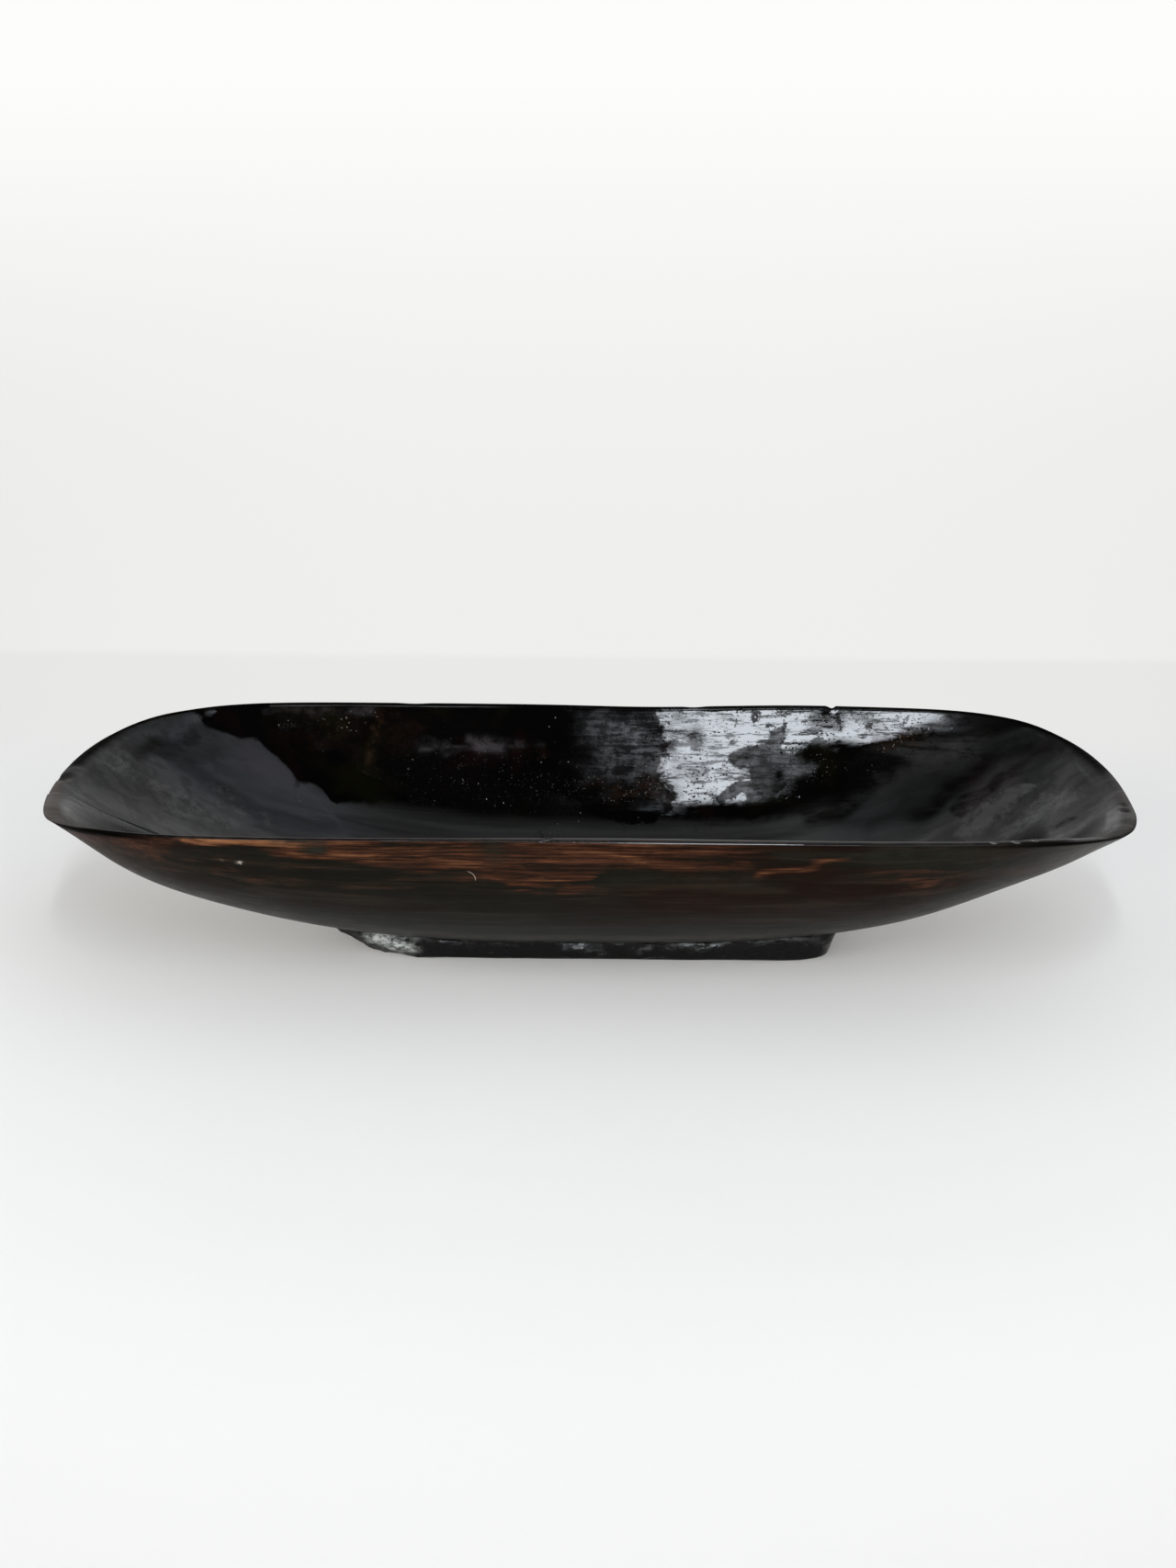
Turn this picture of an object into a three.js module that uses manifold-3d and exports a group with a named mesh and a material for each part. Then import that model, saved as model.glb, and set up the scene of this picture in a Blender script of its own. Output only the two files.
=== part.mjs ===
import * as THREE from "three";
import { mergeVertices } from "three/addons/utils/BufferGeometryUtils.js";
import Module from "manifold-3d";

// A long oval fruit bowl: a hull hollowed from one log, standing on a low foot block.
// The foot is carved to the hull's belly and held by four wooden pegs driven up through it.
// Millimetres, +Z up. The origin is on the floor, under the middle of the bowl.
// +X runs along the bowl, and -Y is its front.

// Hull
const bowlLength = 700;
const bowlWidth = 256;
const sideRimHeight = 113.7; // floor to the top of the rim, along the sides
const endRimDrop = 17.4; // the rim is this much lower at the tips
const keelHeight = 8.5; // floor to the lowest point of the hull
const floorThickness = 16; // of the bowl's own floor, over the keel
const sideWall = 6.8; // at the rim, along the sides
const endWall = 13; // at the rim, at the tips
const sideCrown = 1.2; // how far the rim's top rounds down to its edges, along the sides
const endCrown = 4.5; // the same at the tips

// Foot
const footLength = 328; // at the seam
const footWidth = 98; // at the seam
const leftUndercut = 27; // how far the left end slopes in towards the floor
const rightUndercut = 7;
const sideUndercut = 3;
const footEdgeBevel = 1.5; // round the underside

// Pegs
const pegDiameter = 10;
const pegSpacingX = 200;
const pegSpacingY = 40;
const pegBiteShare = 0.5; // of the hull's floor that a peg reaches into
const pegRecess = 0.6; // the pegs are trimmed this far short of the foot's underside
const pegLead = 1; // the bevel at a peg's upper end

// Clearances
const seamGap = 0.3; // between the hull and the foot
const pegGap = 0.3; // round a peg, and past its upper end

// Shape powers: an outline of power 2 is an ellipse, and a higher power is squarer.
const rimPowers = { along: 7.1, across: 2.15 };
const keelPowers = { along: 3.4, across: 2.4 };
const outerProfile = { along: 3.2, across: 3.1 };
const innerProfile = { along: 3, across: 2.9 };
const endDropPower = 9;
const crownPower = 3;
const leftFootPowers = { along: 9, across: 2.8 };
const rightFootPowers = { along: 12, across: 3 };

// Fineness of the facets
const hullStationsPerSide = 44;
const footStationsPerSide = 26;
const outerRings = 12; // from the keel to the rim
const innerRings = 10; // from the rim to the middle of the bowl's floor
const crownRings = 4; // over the rim, between its two edges
const ringSpacing = 3; // draws the rings together towards the keel, where the hull is flattest
const pegSides = 16;

const hullColour = 0x2b1a10;
const footColour = 0x17110e;
const pegColour = 0x4a3120;

const wasm = await Module();
wasm.setup();

function mix(from, to, share) {
  return from + (to - from) * share;
}

// Stations run round an oval, from the left tip along the front to the right tip, and back behind.
// `along` is -1 at the left tip and 1 at the right tip, and `side` is -1 in front and 1 behind.
function stationsRound(perSide) {
  const stations = [];
  for (let k = 0; k < 2 * perSide; k++) {
    const angle = (Math.PI * k) / perSide;
    stations.push({ along: -Math.cos(angle), side: k < perSide ? -1 : 1 });
  }
  return stations;
}

// How wide an oval is at a share of its length, as a share of its greatest width.
function widthShare(along, powers) {
  const rest = Math.max(0, 1 - Math.abs(along) ** powers.along);
  return rest ** (1 / powers.across);
}

// A closed surface through a stack of rings with as many points each, and a point at each end of the stack.
function closedLoft(firstPoint, rings, lastPoint) {
  const positions = [...firstPoint, ...rings.flat(2), ...lastPoint];
  const count = rings[0].length;
  const last = positions.length / 3 - 1;
  const indices = [];
  for (let k = 0; k < count; k++) {
    const next = (k + 1) % count;
    indices.push(0, 1 + next, 1 + k);
    for (let ring = 0; ring + 1 < rings.length; ring++) {
      const here = 1 + ring * count;
      const above = here + count;
      indices.push(here + k, here + next, above + next);
      indices.push(here + k, above + next, above + k);
    }
    indices.push(last, last - count + k, last - count + next);
  }
  const geometry = new THREE.BufferGeometry();
  geometry.setAttribute("position", new THREE.Float32BufferAttribute(positions, 3));
  geometry.setIndex(indices);
  return geometry;
}

// The hull's outside, grown by a gap on every side.
function outsideGrownBy(gap) {
  return {
    halfLength: bowlLength / 2 + gap,
    halfWidth: bowlWidth / 2 + gap,
    lowest: keelHeight - gap,
    profile: outerProfile,
  };
}
const outside = outsideGrownBy(0);
const inside = {
  halfLength: bowlLength / 2 - endWall,
  halfWidth: bowlWidth / 2 - sideWall,
  lowest: keelHeight + floorThickness,
  profile: innerProfile,
};

// The rim dips, and its crown deepens, towards the tips.
function crownAt(along) {
  return mix(sideCrown, endCrown, Math.abs(along) ** endDropPower);
}

function rimEdgeAt(along) {
  return sideRimHeight - endRimDrop * Math.abs(along) ** endDropPower - crownAt(along);
}

// The oval of a surface at a level from 0, its lowest point, to 1, the edge of the rim.
function ovalAt(surface, level) {
  return {
    halfLength: surface.halfLength * level ** (1 / surface.profile.along),
    halfWidth: surface.halfWidth * level ** (1 / surface.profile.across),
    powers: {
      along: mix(keelPowers.along, rimPowers.along, level),
      across: mix(keelPowers.across, rimPowers.across, level),
    },
  };
}

function hullRing(surface, level) {
  const oval = ovalAt(surface, level);
  return stationsRound(hullStationsPerSide).map(({ along, side }) => [
    oval.halfLength * along,
    side * oval.halfWidth * widthShare(along, oval.powers),
    mix(surface.lowest, rimEdgeAt(along), level),
  ]);
}

function ringsUpToRim(surface, count) {
  const rings = [];
  for (let k = 1; k <= count; k++) {
    rings.push(hullRing(surface, (k / count) ** ringSpacing));
  }
  return rings;
}

// The height of a surface over a point of the plan, found by halving the range of levels.
function heightAt(surface, x, y) {
  let low = 0;
  let high = 1;
  for (let step = 0; step < 40; step++) {
    const level = (low + high) / 2;
    const oval = ovalAt(surface, level);
    const along = Math.min(1, Math.abs(x) / oval.halfLength);
    if (Math.abs(y) < oval.halfWidth * widthShare(along, oval.powers)) {
      high = level;
    } else {
      low = level;
    }
  }
  return mix(surface.lowest, rimEdgeAt(x / surface.halfLength), high);
}

// The rounded top of the rim, from its outer edge over to its inner edge, with both edges left out.
function crownRingsOverRim() {
  const outerEdge = hullRing(outside, 1);
  const innerEdge = hullRing(inside, 1);
  const rings = [];
  for (let k = 1; k <= crownRings; k++) {
    const across = (1 - Math.cos((Math.PI * k) / (crownRings + 1))) / 2;
    const bow = Math.sqrt(1 - Math.abs(2 * across - 1) ** crownPower);
    const ring = stationsRound(hullStationsPerSide).map(({ along }, point) => [
      mix(outerEdge[point][0], innerEdge[point][0], across),
      mix(outerEdge[point][1], innerEdge[point][1], across),
      outerEdge[point][2] + crownAt(along) * bow,
    ]);
    rings.push(ring);
  }
  return rings;
}

function hullGeometry() {
  const rings = [
    ...ringsUpToRim(outside, outerRings),
    ...crownRingsOverRim(),
    ...ringsUpToRim(inside, innerRings).reverse(),
  ];
  return closedLoft([0, 0, outside.lowest], rings, [0, 0, inside.lowest]);
}

// The hull's outside as a filled form, grown by the seam's gap: the foot block is carved to it.
const bellyForm = outsideGrownBy(seamGap);

function bellyGeometry() {
  const rings = ringsUpToRim(bellyForm, outerRings);
  return closedLoft([0, 0, bellyForm.lowest], rings, [0, 0, sideRimHeight]);
}

// The foot's outline at a height. Below the seam, its ends and sides slope in towards the floor.
const seamHeightAtEnds = heightAt(bellyForm, footLength / 2, 0);

function footRing(height, inset) {
  const down = Math.max(0, 1 - height / seamHeightAtEnds);
  const leftReach = footLength / 2 - leftUndercut * down - inset;
  const rightReach = footLength / 2 - rightUndercut * down - inset;
  const halfWidth = footWidth / 2 - sideUndercut * down - inset;
  return stationsRound(footStationsPerSide).map(({ along, side }) => {
    const reach = along < 0 ? leftReach : rightReach;
    const powers = along < 0 ? leftFootPowers : rightFootPowers;
    return [reach * along, side * halfWidth * widthShare(along, powers), height];
  });
}

function footBlockGeometry() {
  const blockTop = (seamHeightAtEnds + sideRimHeight) / 2;
  const rings = [
    footRing(0, footEdgeBevel),
    footRing(footEdgeBevel, 0),
    footRing(seamHeightAtEnds, 0),
    footRing(blockTop, 0),
  ];
  return closedLoft([0, 0, 0], rings, [0, 0, blockTop]);
}

// Pegs. All four are alike, because they stand alike about the middle of the bowl.
const pegPlaces = [];
for (const [sideName, side] of [["front", -1], ["back", 1]]) {
  for (const [endName, end] of [["left", -1], ["right", 1]]) {
    pegPlaces.push({
      name: `foot_peg_${sideName}_${endName}`,
      x: (end * pegSpacingX) / 2,
      y: (side * pegSpacingY) / 2,
    });
  }
}
const pegTop = heightAt(outside, pegSpacingX / 2, pegSpacingY / 2) + pegBiteShare * floorThickness;

function pegGeometry() {
  const radius = pegDiameter / 2;
  const length = pegTop - pegRecess;
  const profile = [
    new THREE.Vector2(0, 0),
    new THREE.Vector2(radius, 0),
    new THREE.Vector2(radius, length - pegLead),
    new THREE.Vector2(radius - pegLead, length),
    new THREE.Vector2(0, length),
  ];
  return new THREE.LatheGeometry(profile, pegSides).rotateX(Math.PI / 2);
}

// The drilling for a peg, from well below the foot to just past the peg's upper end.
function drillGeometry(place) {
  const radius = pegDiameter / 2 + pegGap;
  const top = pegTop + pegGap;
  const drill = new THREE.CylinderGeometry(radius, radius, 2 * top, pegSides);
  return drill.rotateX(Math.PI / 2).translate(place.x, place.y, 0);
}

// Cutting
function solidOf(geometry) {
  const bare = geometry.clone();
  bare.deleteAttribute("normal");
  bare.deleteAttribute("uv");
  const merged = mergeVertices(bare);
  const mesh = new wasm.Mesh({
    numProp: 3,
    vertProperties: new Float32Array(merged.attributes.position.array),
    triVerts: new Uint32Array(merged.index.array),
  });
  return new wasm.Manifold(mesh);
}

function geometryOf(solid) {
  const mesh = solid.getMesh();
  const geometry = new THREE.BufferGeometry();
  geometry.setAttribute("position", new THREE.BufferAttribute(mesh.vertProperties, 3));
  geometry.setIndex(new THREE.BufferAttribute(mesh.triVerts, 1));
  geometry.computeVertexNormals();
  return geometry;
}

function drilledForPegs(solid) {
  return pegPlaces.reduce((rest, place) => rest.subtract(solidOf(drillGeometry(place))), solid);
}

// Assembly
function woodPiece(name, geometry, color, roughness) {
  const material = new THREE.MeshStandardMaterial({ color, roughness, metalness: 0 });
  const piece = new THREE.Mesh(geometry, material);
  piece.name = name;
  return piece;
}

const bowl = new THREE.Group();

const hull = drilledForPegs(solidOf(hullGeometry()));
bowl.add(woodPiece("bowl_hull", geometryOf(hull), hullColour, 0.35));

const footBlock = solidOf(footBlockGeometry()).subtract(solidOf(bellyGeometry()));
bowl.add(woodPiece("foot", geometryOf(drilledForPegs(footBlock)), footColour, 0.4));

for (const place of pegPlaces) {
  const peg = woodPiece(place.name, pegGeometry(), pegColour, 0.7);
  peg.position.set(place.x, place.y, pegRecess);
  bowl.add(peg);
}

export default bowl;
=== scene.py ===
"""The looks of a long carved wooden fruit bowl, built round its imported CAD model.

Metres, +Z up. +X runs along the bowl, and the camera stands in front of it, towards -Y.
The hull, the foot and the pegs are rebuilt as fine meshes from the model's own forms, with the marks
of the knife, the chips and the lacquer that the solids leave out. The marks are listed in millimetres.
"""
import math

import bpy
import numpy as np
from mathutils import Matrix, Vector


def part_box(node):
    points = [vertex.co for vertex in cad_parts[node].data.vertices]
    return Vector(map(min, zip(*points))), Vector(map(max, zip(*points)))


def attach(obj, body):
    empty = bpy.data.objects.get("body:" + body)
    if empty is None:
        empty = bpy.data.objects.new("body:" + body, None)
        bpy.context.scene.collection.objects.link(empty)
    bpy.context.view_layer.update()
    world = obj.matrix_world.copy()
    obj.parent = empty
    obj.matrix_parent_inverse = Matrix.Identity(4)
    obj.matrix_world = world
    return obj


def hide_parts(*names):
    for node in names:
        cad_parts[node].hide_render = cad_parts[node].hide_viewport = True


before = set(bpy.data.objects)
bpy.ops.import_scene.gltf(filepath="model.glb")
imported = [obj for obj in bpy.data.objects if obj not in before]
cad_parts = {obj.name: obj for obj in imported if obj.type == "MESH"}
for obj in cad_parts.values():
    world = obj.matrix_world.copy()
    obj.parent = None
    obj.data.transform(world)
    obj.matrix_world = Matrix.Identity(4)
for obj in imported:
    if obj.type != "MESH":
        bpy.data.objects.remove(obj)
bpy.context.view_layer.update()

MM = 0.001

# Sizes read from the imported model
HULL_LOW, HULL_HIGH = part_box("bowl_hull")
HALF_LENGTH = (HULL_HIGH.x - HULL_LOW.x) / 2
HALF_WIDTH = (HULL_HIGH.y - HULL_LOW.y) / 2
SIDE_RIM_HEIGHT = HULL_HIGH.z
KEEL_HEIGHT = HULL_LOW.z

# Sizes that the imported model's surfaces are drawn with
END_RIM_DROP = 0.0174
FLOOR_THICKNESS = 0.016
SIDE_WALL = 0.0068
END_WALL = 0.013
SIDE_CROWN = 0.0012
END_CROWN = 0.0045
FOOT_HALF_LENGTH = 0.164
FOOT_HALF_WIDTH = 0.049
LEFT_UNDERCUT = 0.027
RIGHT_UNDERCUT = 0.007
SIDE_UNDERCUT = 0.003
FOOT_EDGE_BEVEL = 0.0015
SEAM_GAP = 0.0003
PEG_GAP = 0.0003

# Powers of the outlines and profiles: 2 is an ellipse, and more is squarer
RIM_POWERS = (7.1, 2.15)
KEEL_POWERS = (3.4, 2.4)
OUTER_PROFILE = (3.2, 3.1)
INNER_PROFILE = (3.0, 2.9)
END_DROP_POWER = 9
CROWN_POWER = 3
LEFT_FOOT_POWERS = (26, 5)
RIGHT_FOOT_POWERS = (20, 4)

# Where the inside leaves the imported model: the thin wall at the back rim, how far each corner lies in, and
# the ridge of the left corner, by two of its points (x, z) and how softly it turns
BACK_RIM_WALL = 0.003
LEFT_EASE = 0.0085
RIGHT_EASE = 0.006
RIDGE_LOW_POINT = (-0.184, 0.062)
RIDGE_HIGH_POINT = (-0.245, 0.11)
RIDGE_SOFTNESS = 0.0018

# Fineness of the meshes
HULL_STATIONS = 840
OUTER_RINGS = 92
CROWN_RINGS = 13
INNER_RINGS = 92
FOOT_STATIONS = 520
FOOT_SIDE_RINGS = 26
FOOT_CAP_RINGS = 14
PEG_SIDES = 48

# Rounds of halving and of fitting the seam
HALVINGS = 40
SEAM_ROUNDS = 12

# The lip at the tips: where it sets in along X, the inner rings that it takes in, over how many of them it
# fades out, the rounds that smooth it and how far a point moves in each
LIP_SETS_IN = (0.285, 0.335)
LIP_RINGS = 20
LIP_FADE_RINGS = 6
LIP_ROUNDS = 60
LIP_STEP = 0.8

# The knife cuts round the foot: how many, and the ranges of their tilt, depth and radius
KNIFE_CUTS = 90
CUT_TILTS = (-0.25, 0.3)
CUT_DEPTHS = (0.0004, 0.0011)
CUT_RADII = (0.025, 0.06)

# A peg's flats, its bevel as a share of its radius, its saw marks, and the depth and half angle of its check
PEG_FLATS = 9
PEG_BEVEL = 0.2
SAW_MARK_DEPTH = 0.00005
SAW_MARK_PITCH = 0.0011
CHECK_DEPTH = 0.0007
CHECK_HALF_ANGLE = 0.16

# Unevenness of the hull and of the foot's coat, in metres: height, wavelength along each axis, and seed
HAND_WAVES = [
    (0.00026, (0.32, 0.07, 0.07), 3),
    (0.00004, (0.07, 0.024, 0.024), 4),
    (0.000018, (0.024, 0.013, 0.013), 5),
]
COAT_LUMPS = [
    (0.0001, (0.016, 0.01, 0.008), 22),
    (0.00004, (0.006, 0.005, 0.004), 23),
]


def mix(low, high, share):
    return low + (high - low) * share


def smooth(value, start, end):
    """0 before start, 1 past end, with an even slope between them. The start may be the larger."""
    share = np.clip((value - start) / (end - start), 0, 1)
    return share * share * (3 - 2 * share)


def hill(value, centre, width):
    """1 at the centre, falling smoothly to nothing on both sides."""
    return np.exp(-(((value - centre) / width) ** 2))


def soft_start(value, softness):
    """0 for negative values and the value itself for positive ones, with a rounded turn between them."""
    return softness * np.logaddexp(0, value / softness)


def unit(vectors):
    return vectors / (np.linalg.norm(vectors, axis=-1, keepdims=True) + 1e-12)


def angles_round(count):
    return 2 * np.pi * np.arange(count) / count


def direction_of(turn, rise):
    """The unit direction that is turned to the right from the bowl's front and raised, both in degrees."""
    turn, rise = math.radians(turn), math.radians(rise)
    return math.sin(turn) * math.cos(rise), -math.cos(turn) * math.cos(rise), math.sin(rise)


def ripples(points, wavelength, seed, count=28):
    """Smooth random waves of about one wavelength, mostly between -1 and 1. One wavelength for each axis
    stretches them."""
    random = np.random.default_rng(seed)
    directions = random.normal(size=(count, 3))
    directions /= np.linalg.norm(directions, axis=1, keepdims=True)
    pace = 2 * math.pi * random.uniform(0.7, 1.4, size=(count, 1)) * directions / np.asarray(wavelength)
    phases = random.uniform(0, 2 * math.pi, size=count)
    waves = np.sin(points @ pace.T + phases)
    return waves.sum(axis=-1) * math.sqrt(2 / count) / 1.6


def unevenness(points, waves):
    return sum(height * ripples(points, wavelength, seed) for height, wavelength, seed in waves)


def wandered(points, reach, wavelength, seeds):
    """The points moved about by ripples, one seed for each axis, so that masks get uneven edges."""
    return points + reach * np.stack([ripples(points, wavelength, seed) for seed in seeds], -1)


# The hull's forms

class Surface:
    """One of the hull's two surfaces: its half sizes at the rim, its lowest height and its profile."""

    def __init__(self, half_length, half_width, lowest, profile):
        self.half_length = half_length
        self.half_width = half_width
        self.lowest = lowest
        self.profile = profile

    def grown(self, gap):
        return Surface(self.half_length + gap, self.half_width + gap, self.lowest - gap, self.profile)

    def reach(self, level):
        """The oval's half length, half width and powers at a level: 0 is the lowest point and 1 the rim."""
        return (
            self.half_length * level ** (1 / self.profile[0]),
            self.half_width * level ** (1 / self.profile[1]),
            mix(KEEL_POWERS[0], RIM_POWERS[0], level),
            mix(KEEL_POWERS[1], RIM_POWERS[1], level),
        )

    def ring(self, along, side, level):
        length, width, power_along, power_across = self.reach(level)
        y = side * width * width_share(along, power_along, power_across)
        return np.stack([length * along, y, mix(self.lowest, rim_edge(along), level)], -1)

    def height_at(self, x, y):
        """The surface's height over points of the plan, found by halving the range of levels."""
        low = np.zeros_like(x)
        high = np.ones_like(x)
        for _ in range(HALVINGS):
            level = (low + high) / 2
            length, width, power_along, power_across = self.reach(level)
            along = np.minimum(1, np.abs(x) / length)
            inside = np.abs(y) < width * width_share(along, power_along, power_across)
            high = np.where(inside, level, high)
            low = np.where(inside, low, level)
        return mix(self.lowest, rim_edge(x / self.half_length), high)


def width_share(along, power_along, power_across):
    return np.maximum(0, 1 - np.abs(along) ** power_along) ** (1 / power_across)


def crown_height(along):
    return mix(SIDE_CROWN, END_CROWN, np.abs(along) ** END_DROP_POWER)


def rim_edge(along):
    return SIDE_RIM_HEIGHT - END_RIM_DROP * np.abs(along) ** END_DROP_POWER - crown_height(along)


def stations(count):
    """Round an oval from the left tip, along the front, to the right tip and back behind."""
    side = np.where(np.arange(count) < count // 2, -1.0, 1.0)
    return -np.cos(angles_round(count)), side


def ring_levels(count):
    """Levels from just over the lowest point up to the rim, closer together near the rim."""
    share = np.arange(1, count + 1) / count
    radius = 0.55 * share + 0.45 * (1 - (1 - share) ** 2)
    return radius ** 3


OUTSIDE = Surface(HALF_LENGTH, HALF_WIDTH, KEEL_HEIGHT, OUTER_PROFILE)
INSIDE = Surface(
    HALF_LENGTH - END_WALL, HALF_WIDTH - SIDE_WALL, KEEL_HEIGHT + FLOOR_THICKNESS, INNER_PROFILE
)
BELLY = OUTSIDE.grown(SEAM_GAP)


# Meshes

def closed_loft(name, first_point, rings, last_point):
    """A closed mesh through a stack of rings with as many points each, and a point at each end."""
    rings = np.asarray(rings)
    ring_count, count = rings.shape[:2]
    points = np.vstack([first_point, rings.reshape(-1, 3), last_point])
    here = 1 + np.arange(count)
    beside = 1 + (np.arange(count) + 1) % count
    last = len(points) - 1
    faces = np.stack([np.zeros(count, int), beside, here], 1).tolist()
    for low in range(0, (ring_count - 1) * count, count):
        up = low + count
        faces += np.stack([here + low, beside + low, beside + up, here + up], 1).tolist()
    low = (ring_count - 1) * count
    faces += np.stack([np.full(count, last), here + low, beside + low], 1).tolist()
    mesh = bpy.data.meshes.new(name)
    mesh.from_pydata(points.tolist(), [], faces)
    mesh.shade_smooth()
    return mesh


def add_object(name, data):
    made = bpy.data.objects.new(name, data)
    bpy.context.scene.collection.objects.link(made)
    return made


def surface_normals(grid):
    """Unit normals of a grid of rings, pointing away from the solid."""
    round_ring = np.roll(grid, -1, axis=1) - np.roll(grid, 1, axis=1)
    return unit(np.cross(round_ring, np.gradient(grid, axis=0)))


def vertex_values(mesh, name):
    """The points of a mesh or their normals, one row each."""
    values = np.empty(len(mesh.vertices) * 3)
    mesh.vertices.foreach_get(name, values)
    return values.reshape(-1, 3)


def store(mesh, name, values):
    """Keeps one number for each point, which a material reads by name."""
    attribute = mesh.attributes.new(name, "FLOAT", "POINT")
    attribute.data.foreach_set("value", np.asarray(values, np.float32))


def cut_directions(outward):
    """The unit direction out of a cut, and the level one along it."""
    outward = np.asarray(outward, float)
    outward = outward / np.linalg.norm(outward)
    level_way = np.cross([0, 0, 1], outward)
    return outward, level_way / np.linalg.norm(level_way)


def gouged(points, centre, outward, depth, radius, stretch):
    """The points after one cut of a round gouge: those within its stretched ball are pushed out of it."""
    outward, level_way = cut_directions(outward)
    ball = np.asarray(centre) + outward * (radius - depth)
    offset = points - ball
    near = offset - (offset @ level_way)[..., None] * level_way * (1 - 1 / stretch)
    distance = np.linalg.norm(near, axis=-1, keepdims=True)
    out = near / (distance + 1e-12) * radius
    out = out + (out @ level_way)[..., None] * level_way * (stretch - 1)
    return np.where(distance < radius, ball + out, points)


def planed(points, centre, outward, depth, half_length):
    """The points after one flat cut: those over its plane are pressed down to it, softly at its two ends."""
    outward, level_way = cut_directions(outward)
    offset = points - np.asarray(centre)
    above = np.maximum(0, offset @ outward + depth)
    ends = smooth(np.abs(offset @ level_way), half_length + 0.0015, half_length - 0.0015)
    return points - (above * ends)[..., None] * outward


def cut_out(piece, tools):
    """Cuts the tools out of the piece and removes them."""
    for tool in tools:
        cut = piece.modifiers.new("cut", "BOOLEAN")
        cut.operation = "DIFFERENCE"
        cut.solver = "MANIFOLD"
        cut.object = tool
    bpy.context.view_layer.update()
    graph = bpy.context.evaluated_depsgraph_get()
    mesh = bpy.data.meshes.new_from_object(piece.evaluated_get(graph))
    piece.modifiers.clear()
    piece.data = mesh
    for tool in tools:
        bpy.data.objects.remove(tool)


# Hull

# Where the rim leaves its even line: place along X, side, half length of the swell, and lift
RIM_LIFTS = [
    (-325, -1, 30, 2.5),
    (-275, 1, 40, -1.2),
    (36, 1, 50, -1.2),
    (138, 1, 40, 0.6),
    (-60, -1, 90, 0.4),
]

# Nicks in the rim: place (x, y), radius and depth
RIM_NICKS = [
    (162.5, 127, 3, 2),
    (-344, 30, 6.5, 2),
    (-338.5, 48, 6, 0.8),
    (345, -2, 3.5, 1.4),
    (344.5, -12, 4.5, 1.8),
    (-23, -125.5, 2.6, 1),
    (250, -120, 3, 0.9),
    (264, -116.5, 3.5, 1.2),
    (276, -112, 2.8, 0.9),
    (70, 125.5, 9, 0.6),
    (-120, 126, 12, 0.5),
]

# Pits in the lacquer and the wood: place, radius and depth
PITS = [
    (331, 11, 90, 2.2, 1.2),
    (-33, 68, 41, 1.6, 0.6),
    (-212, -116, 93, 2.6, 0.7),
]


def wall_at_rim(x, side):
    """How thick the wall is at the rim: thin behind, and thicker towards the right in front."""
    front = mix(0.0042, 0.008, smooth(x, -0.12, 0.06)) + 0.0035 * hill(x, 0.3, 0.04)
    tips = smooth(np.abs(x), 0.315, 0.345)
    return mix(np.where(side < 0, front, BACK_RIM_WALL), mix(SIDE_WALL, END_WALL, 0.75), tips)


def corner_ease(points, level):
    """How far the inside lies in towards the middle of the bowl: its corners slope more gently than the long
    walls. A soft ridge divides the left corner from the wall, and the right one starts lower down."""
    x, z = points[..., 0], points[..., 2]
    (low_x, low_z), (high_x, high_z) = RIDGE_LOW_POINT, RIDGE_HIGH_POINT
    past_ridge = soft_start(mix(low_x, high_x, (z - low_z) / (high_z - low_z)) - x, RIDGE_SOFTNESS)
    left = LEFT_EASE * (1 - np.exp(-past_ridge / 0.045))
    past_turn = soft_start(x - mix(0.16, 0.25, smooth(z, 0.084, 0.106)), 0.008)
    right = RIGHT_EASE * (1 - np.exp(-past_turn / 0.07))
    swell = smooth(level, 0.04, 0.35) * smooth(level, 1.0, 0.7)
    straight = 0.0016 * (hill(x, 0.248, 0.028) + hill(x, -0.252, 0.028)) * smooth(z, 0.084, 0.098)
    return (left + right) * swell * smooth(np.abs(x), 0.345, 0.3) - straight


def lift_rim(grid, side, level):
    """Follows the rim's uneven line, fading out down the wall."""
    lift = 0.0
    for place, lifted_side, reach, height in RIM_LIFTS:
        lift = lift + height * MM * hill(grid[..., 0] / MM, place, reach) * (side == lifted_side)
    moved = grid.copy()
    moved[..., 2] += lift * smooth(level, 0.35, 1.0)
    return moved


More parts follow.
